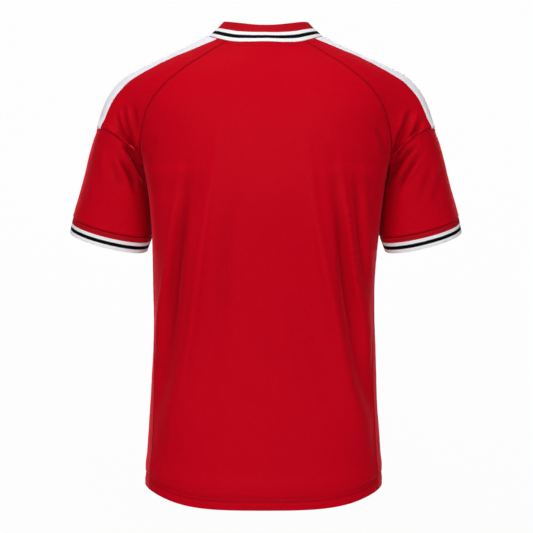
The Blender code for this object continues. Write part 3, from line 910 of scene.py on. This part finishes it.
def makeRedKnit():
    material, start, shader = newMaterial("redKnit")
    tone, rough = redKnit["tone"], redKnit["roughnessOf"]
    loops = knitLoops(start, redKnit["wale"], redKnit["course"])
    patch = noise(start, redKnit["patchScale"], redKnit["patchDetail"])
    fleck = noise(start, redKnit["fleckScale"])
    # random tone, with shade painted where the knit's loops lie low
    toneAndLoopShade = (patch * tone["patch"] + (fleck - 0.5) * tone["fleck"] + (1 - loops) * tone["loops"]).clamped()
    # the panels' painted shade darkens the colour in fold hollows, seams, hem grooves and under the arms
    hollow = start.add("ShaderNodeAttribute", {"attribute_name": "hollow"}, output=2) * redKnit["hollow"]
    colour = mixed(toneAndLoopShade, redKnit["colour"], redKnit["deep"])
    plug(
        shader,
        baseColor=mixed(hollow, colour, redKnit["deepest"]),
        roughness=redKnit["roughness"] + (fleck - 0.5) * rough["fleck"] + (1 - loops) * rough["loops"],
        normal=bump(start, redKnit["bump"], redKnit["relief"], loops + fleck * redKnit["fleckRelief"]),
        sheenWeight=redKnit["sheen"],
        sheenRoughness=redKnit["sheenRoughness"],
        sheenTint=redKnit["sheenTint"],
        specularIORLevel=redKnit["gloss"],
    )
    return material


def makeWhiteKnit():
    material, start, shader = newMaterial("whiteKnit")
    tone = whiteKnit["tone"]
    loops = knitLoops(start, whiteKnit["wale"], whiteKnit["course"])
    fleck = noise(start, whiteKnit["fleckScale"])
    shaded = ((1 - loops) * tone["loops"] + fleck * tone["fleck"]).clamped()
    plug(
        shader,
        baseColor=mixed(shaded, whiteKnit["colour"], whiteKnit["shade"]),
        roughness=whiteKnit["roughness"] + (fleck - 0.5) * whiteKnit["roughnessOf"]["fleck"],
        normal=bump(start, whiteKnit["bump"], whiteKnit["relief"], loops),
        sheenWeight=whiteKnit["sheen"],
        specularIORLevel=whiteKnit["gloss"],
    )
    return material


def makeStripedRib(name, stripes):
    # stripes lists where each colour ends, in metres down from the first row
    material, start, shader = newMaterial(name)
    across, down = clothPlace(start)
    lean = (across * (4 * math.pi / rib["pitch"])).sine()
    loops = (down * (2 * math.pi / rib["course"]) + lean).sine() * 0.5 + 0.5
    fuzz = noise(start, rib["fuzzScale"])
    place = down + (loops - 0.5) * rib["wander"]["loops"] + (fuzz - 0.5) * rib["wander"]["fuzz"]
    colour = rib[stripes[0][0]]
    for (_, end), (following, _) in zip(stripes, stripes[1:]):
        past = ((place - end) / rib["stripeEdge"] + 0.5).clamped()
        colour = mixed(past, colour, rib[following])
    shaded = ((1 - loops) * rib["tone"]["loops"] + fuzz * rib["tone"]["fuzz"]).clamped()
    plug(
        shader,
        baseColor=mixed(shaded, colour, rib["shade"], blend="MULTIPLY"),
        roughness=rib["roughness"] + (fuzz - 0.5) * rib["roughnessOf"]["fuzz"],
        normal=bump(start, rib["bump"], rib["relief"], loops + fuzz * rib["fuzzRelief"]),
        specularIORLevel=rib["gloss"],
    )
    return material


def makeThread(name, colour):
    material, start, shader = newMaterial(name)
    ply = noise(start, thread["plyScale"], thread["plyDetail"])
    darker = (*(thread["shade"] * channel for channel in colour[:3]), 1.0)
    plug(
        shader,
        baseColor=mixed(ply, colour, darker),
        roughness=thread["roughness"] + (ply - 0.5) * thread["roughnessOf"]["ply"],
        normal=bump(start, thread["bump"], thread["relief"], ply),
        specularIORLevel=thread["gloss"],
    )
    return material


redCloth = makeRedKnit()
whiteTape = makeWhiteKnit()
redThread = makeThread("redThread", thread["red"])
whiteThread = makeThread("whiteThread", thread["white"])
print("jersey: materials made")


# The body's two panels
body = {
    "back": {"side": -1, "seed": 5},
    "front": {"side": 1, "seed": 9},
    "puckers": {"first": 0.8, "last": 0.8},  # how strong they are at each edge
}


def makeBody(which):
    facts = body[which]
    panel = finePanel(which, (1, 0, 0))
    levelled(panel)
    joins = ("top", "first", "last")
    folds = calmSeams(panel, joins, creaseHeights(panel, bodyCreases[which], facts["side"]))
    # shade painted into the colour in the folds' hollows and along the seams
    panel["hollows"] = hollows(panel, folds, joins)
    # and into the hem's stitched grooves
    for row in hemRows:
        hemPaintedShade = hump(edgeDistances(panel)["bottom"] - row, hem["grooveWidth"])
        panel["hollows"] = np.maximum(panel["hollows"], hemPaintedShade)
    height = folds + unevenness(panel) + rollSeams(panel, joins)
    height += puckers(panel, body["puckers"], facts["seed"]) + stitchedHem(panel)
    move(panel, height)
    mesh = clothMesh(panel, which)
    piece = addPiece(which + "Cloth", mesh, redCloth, cloth["wall"], rounded=True)
    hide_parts(which)
    return panel, piece


backPanel, backCloth = makeBody("back")
frontPanel, frontCloth = makeBody("front")
print("jersey: body made")

# The upper sleeves, from neck to the seam across the arm, and the lower ones
sleeves = {
    "left": {"x": -1, "seeds": {"upper": 33, "lower": 36, "band": 38}},
    "right": {"x": 1, "seeds": {"upper": 43, "lower": 46, "band": 48}},
    "step": 0.0021,
    "hollow": 1.5,  # the shade painted in their narrow folds and seams, over that of the body's
    "upperPuckers": {"first": 1.0, "last": 1.0, "bottom": 0.6},
    "lowerPuckers": {"top": 0.8, "bottom": 0.8},
    "underArm": 0.028,  # where the sleeve hangs nearer to the body than this, shade is painted into its colour
    "underArmTone": 2.4,
}


def dressSleeve(panel, joins, calm):
    # the height of a sleeve's creases and seams, and the shade painted in them; its creases fade at the
    # calm edges
    folds = creaseHeights(panel, sleeveCreases["back"], -1)
    folds = calmSeams(panel, calm, folds + creaseHeights(panel, sleeveCreases["front"], 1))
    panel["hollows"] = sleeves["hollow"] * hollows(panel, folds, joins)
    return folds + unevenness(panel) + rollSeams(panel, joins)


def makeUpperSleeve(side):
    panel = finePanel("shoulder_" + side, (0, 1, 0), step=sleeves["step"])
    height = dressSleeve(panel, ("top", "first", "last", "bottom"), ("top", "first", "last"))
    move(panel, height + puckers(panel, sleeves["upperPuckers"], sleeves[side]["seeds"]["upper"]))
    piece = addPiece("upperSleeve_" + side, clothMesh(panel, side), redCloth, cloth["wall"])
    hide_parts("shoulder_" + side)
    return panel, piece


def makeLowerSleeve(side):
    facts = sleeves[side]
    panel = finePanel("sleeve_" + side, (facts["x"], 0, 0), closed=True, step=sleeves["step"])
    height = dressSleeve(panel, ("top", "bottom"), ("bottom",))
    # shade painted where the sleeve hangs close to the body, under the arm
    nearBody = closeness(panel, (backPanel, frontPanel), sleeves["underArm"])
    panel["hollows"] += sleeves["underArmTone"] * nearBody
    height += seams["lip"] * hump(edgeDistances(panel)["top"] - seams["lipAt"], seams["ridgeWidth"])
    move(panel, height + puckers(panel, sleeves["lowerPuckers"], facts["seeds"]["lower"]))
    piece = addPiece("lowerSleeve_" + side, clothMesh(panel, side), redCloth, cloth["wall"])
    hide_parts("sleeve_" + side)
    return piece


upperPanels, upperSleeves, lowerSleeves = {}, {}, {}
for side in ("left", "right"):
    upperPanels[side], upperSleeves[side] = makeUpperSleeve(side)
    lowerSleeves[side] = makeLowerSleeve(side)
print("jersey: sleeves made")

# The ribbed collar and cuffs
ribbing = {
    "step": 0.00055,
    "rowStep": 0.0011,
    "height": 0.00022,
    "wall": 0.0016,
    "collarStripes": [
        ("red", 0.0133),
        ("white", 0.0186),
        ("black", 0.0246),
        ("white", 0.0305),
        ("red", 0.0350),
    ],
    "cuffStripes": [("red", 0.0100), ("white", 0.0150), ("black", 0.0205), ("white", 0.0270)],
}


def ribbedTube(node, leading, seamSide, name, stripes):
    # a collar or cuff, whose ribs run down it, as many as fit all round
    panel = finePanel(node, leading, closed=True, step=ribbing["step"], rowStep=ribbing["rowStep"])
    rows, columns = panel["points"].shape[:2]
    ribs = round(runLength(panel["points"], 1)[:, -1].mean() / rib["pitch"])
    across = np.broadcast_to(np.linspace(0, ribs * rib["pitch"], columns), (rows, columns))
    height = ribbing["height"] * (0.5 + 0.5 * np.cos(2 * math.pi * across / rib["pitch"]))
    height += rollSeams(panel, (seamSide,), ridge=0.0) + unevenness(panel)
    move(panel, height - ribbing["height"])
    mesh = clothMesh(panel, name, across=across)
    material = makeStripedRib(name + "Rib", stripes)
    piece = addPiece(name, mesh, material, ribbing["wall"], rounded=True)
    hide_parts(node)
    return panel, piece


_, collarRib = ribbedTube("collar", (0, 1, 0), "bottom", "collarRib", ribbing["collarStripes"])
cuffPanels, cuffRibs = {}, {}
for side in ("left", "right"):
    leading = (sleeves[side]["x"], 0, 0)
    cuffPanels[side], cuffRibs[side] = ribbedTube(
        "cuff_" + side, leading, "top", "cuffRib_" + side, ribbing["cuffStripes"]
    )
print("jersey: collar and cuffs made")

# The plain white bands along the shoulders
band = {
    "wall": 0.0008,
    "clearance": 0.0010,  # its outside over that of the sleeve
    "edge": 0.0002,  # its edges are pressed down by their stitching
    "edgeWidth": 0.0012,
    "stitchIn": 0.0022,
    "stitchDepth": 0.0002,
    "stitchWidth": 0.0008,
    "lowest": -0.0002,
    "puckers": {"first": 0.3, "last": 0.3},
}


def makeBand(side):
    panel = finePanel("band_" + side, (0, 1, 0), step=sleeves["step"])
    layOn(panel, upperPanels[side], band["clearance"])
    gaps = edgeDistances(panel)
    height = puckers(panel, band["puckers"], sleeves[side]["seeds"]["band"])
    for edge in ("first", "last"):
        height -= band["edge"] * hump(gaps[edge], band["edgeWidth"])
        height -= band["stitchDepth"] * hump(gaps[edge] - band["stitchIn"], band["stitchWidth"])
    move(panel, np.clip(height, band["lowest"], None))
    piece = addPiece("shoulderBand_" + side, clothMesh(panel, side), whiteTape, band["wall"])
    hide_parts("band_" + side)
    lines = [lineBeside(panel, edge, band["stitchIn"]) for edge in ("first", "last")]
    return piece, stitching("bandStitches_" + side, lines, whiteThread)


bands, bandStitches = {}, {}
for side in ("left", "right"):
    bands[side], bandStitches[side] = makeBand(side)
print("jersey: shoulder bands made")

# Stitching
neckRow = 0.0092  # the topstitching below the collar
cuffRows = (0.0012, 0.0060)  # on the cuff, below its seam

hemLines = [lineBeside(panel, "bottom", row) for panel in (backPanel, frontPanel) for row in hemRows]
hemStitches = stitching("hemStitches", hemLines, redThread)
neckPanels = (backPanel, frontPanel, upperPanels["left"], upperPanels["right"])
neckLines = [lineBeside(panel, "top", neckRow) for panel in neckPanels]
neckStitches = stitching("neckStitches", neckLines, redThread)
for side in ("left", "right"):
    lines = [lineBeside(cuffPanels[side], "top", row) for row in cuffRows]
    stitching("cuffStitches_" + side, lines, redThread)
print("jersey: stitching made")


# The studio
white = (1.0, 1.0, 1.0, 1.0)

studio = {
    "distance": 3.0,
    "middle": (0.0008, -0.34125),  # x and z that the camera looks at
    "seenWidth": 0.7965,  # at the origin's distance
    "sensor": 36.0,
    "sky": 0.16,
    "lights": [
        # name, place, what it points at, its width and height, and power
        ("keyLight", (-0.12, -2.4, 0.50), (0, 0, -0.10), (0.5, 0.5), 39),
        ("topLight", (-0.25, -0.5, 2.2), (0, 0, -0.2), (1.0, 0.7), 26),
        ("frontLight", (0.5, 3.0, 0.6), (0, 0, -0.3), (0.8, 0.8), 18),
        ("leftFill", (-2.6, -0.6, 0.4), (-0.1, 0, -0.3), (0.8, 1.6), 4.0),
        ("rightFill", (2.6, -0.6, 0.4), (0.1, 0, -0.3), (0.8, 1.6), 3.4),
    ],
    "sweep": [
        # name, middle, turn, half its side, its darker and lighter grey, and how brightly it glows
        ("floor", (0, 0, -1.15), 0, 3.0, (0.8, 0.8), 0.0),
        ("wall", (0, 4.8, 0.8), 90, 4.8, (0.10, 0.12), 0.95),
    ],
    "paper": {"grain": 2.0, "roughness": 0.9, "gloss": 0.1},
}


def areaLight(name, place, target, size, power):
    light = bpy.data.lights.new(name, "AREA")
    light.shape = "RECTANGLE"
    light.size, light.size_y = size
    light.energy = power
    lamp = addObject(name, light)
    lamp.location = place
    lamp.rotation_euler = (Vector(target) - Vector(place)).to_track_quat("-Z", "Y").to_euler()


def makePaper(name, greys, glow):
    material, start, shader = newMaterial(name)
    paper = studio["paper"]
    darker, lighter = [(grey, grey, grey, 1.0) for grey in greys]
    plug(
        shader,
        baseColor=mixed(noise(start, paper["grain"]), darker, lighter) if glow else lighter,
        roughness=paper["roughness"],
        emissionColor=white,
        emissionStrength=glow,
        specularIORLevel=paper["gloss"],
    )
    return material


def makeStudio():
    scene = bpy.context.scene
    scene.view_settings.view_transform = "Standard"
    world = bpy.data.worlds.new("softSky")
    scene.world = world
    world.use_nodes = True
    sky = world.node_tree.nodes["Background"]
    sky.inputs["Color"].default_value = white
    sky.inputs["Strength"].default_value = studio["sky"]

    for facts in studio["lights"]:
        areaLight(*facts)

    for name, middle, turn, size, greys, glow in studio["sweep"]:
        shape = bmesh.new()
        bmesh.ops.create_grid(shape, x_segments=1, y_segments=1, size=size)
        bmesh.ops.rotate(shape, verts=shape.verts, matrix=Matrix.Rotation(math.radians(turn), 3, "X"))
        bmesh.ops.translate(shape, verts=shape.verts, vec=middle)
        board = addObject(name, meshOf(shape, name))
        board.data.materials.append(makePaper(name, greys, glow))

    view = bpy.data.cameras.new("camera")
    view.sensor_width = studio["sensor"]
    view.lens = studio["sensor"] * studio["distance"] / studio["seenWidth"]
    camera = addObject("camera", view)
    camera.location = (studio["middle"][0], -studio["distance"], studio["middle"][1])
    camera.rotation_euler = (math.radians(90), 0, 0)
    scene.camera = camera


makeStudio()
print("jersey: studio made")
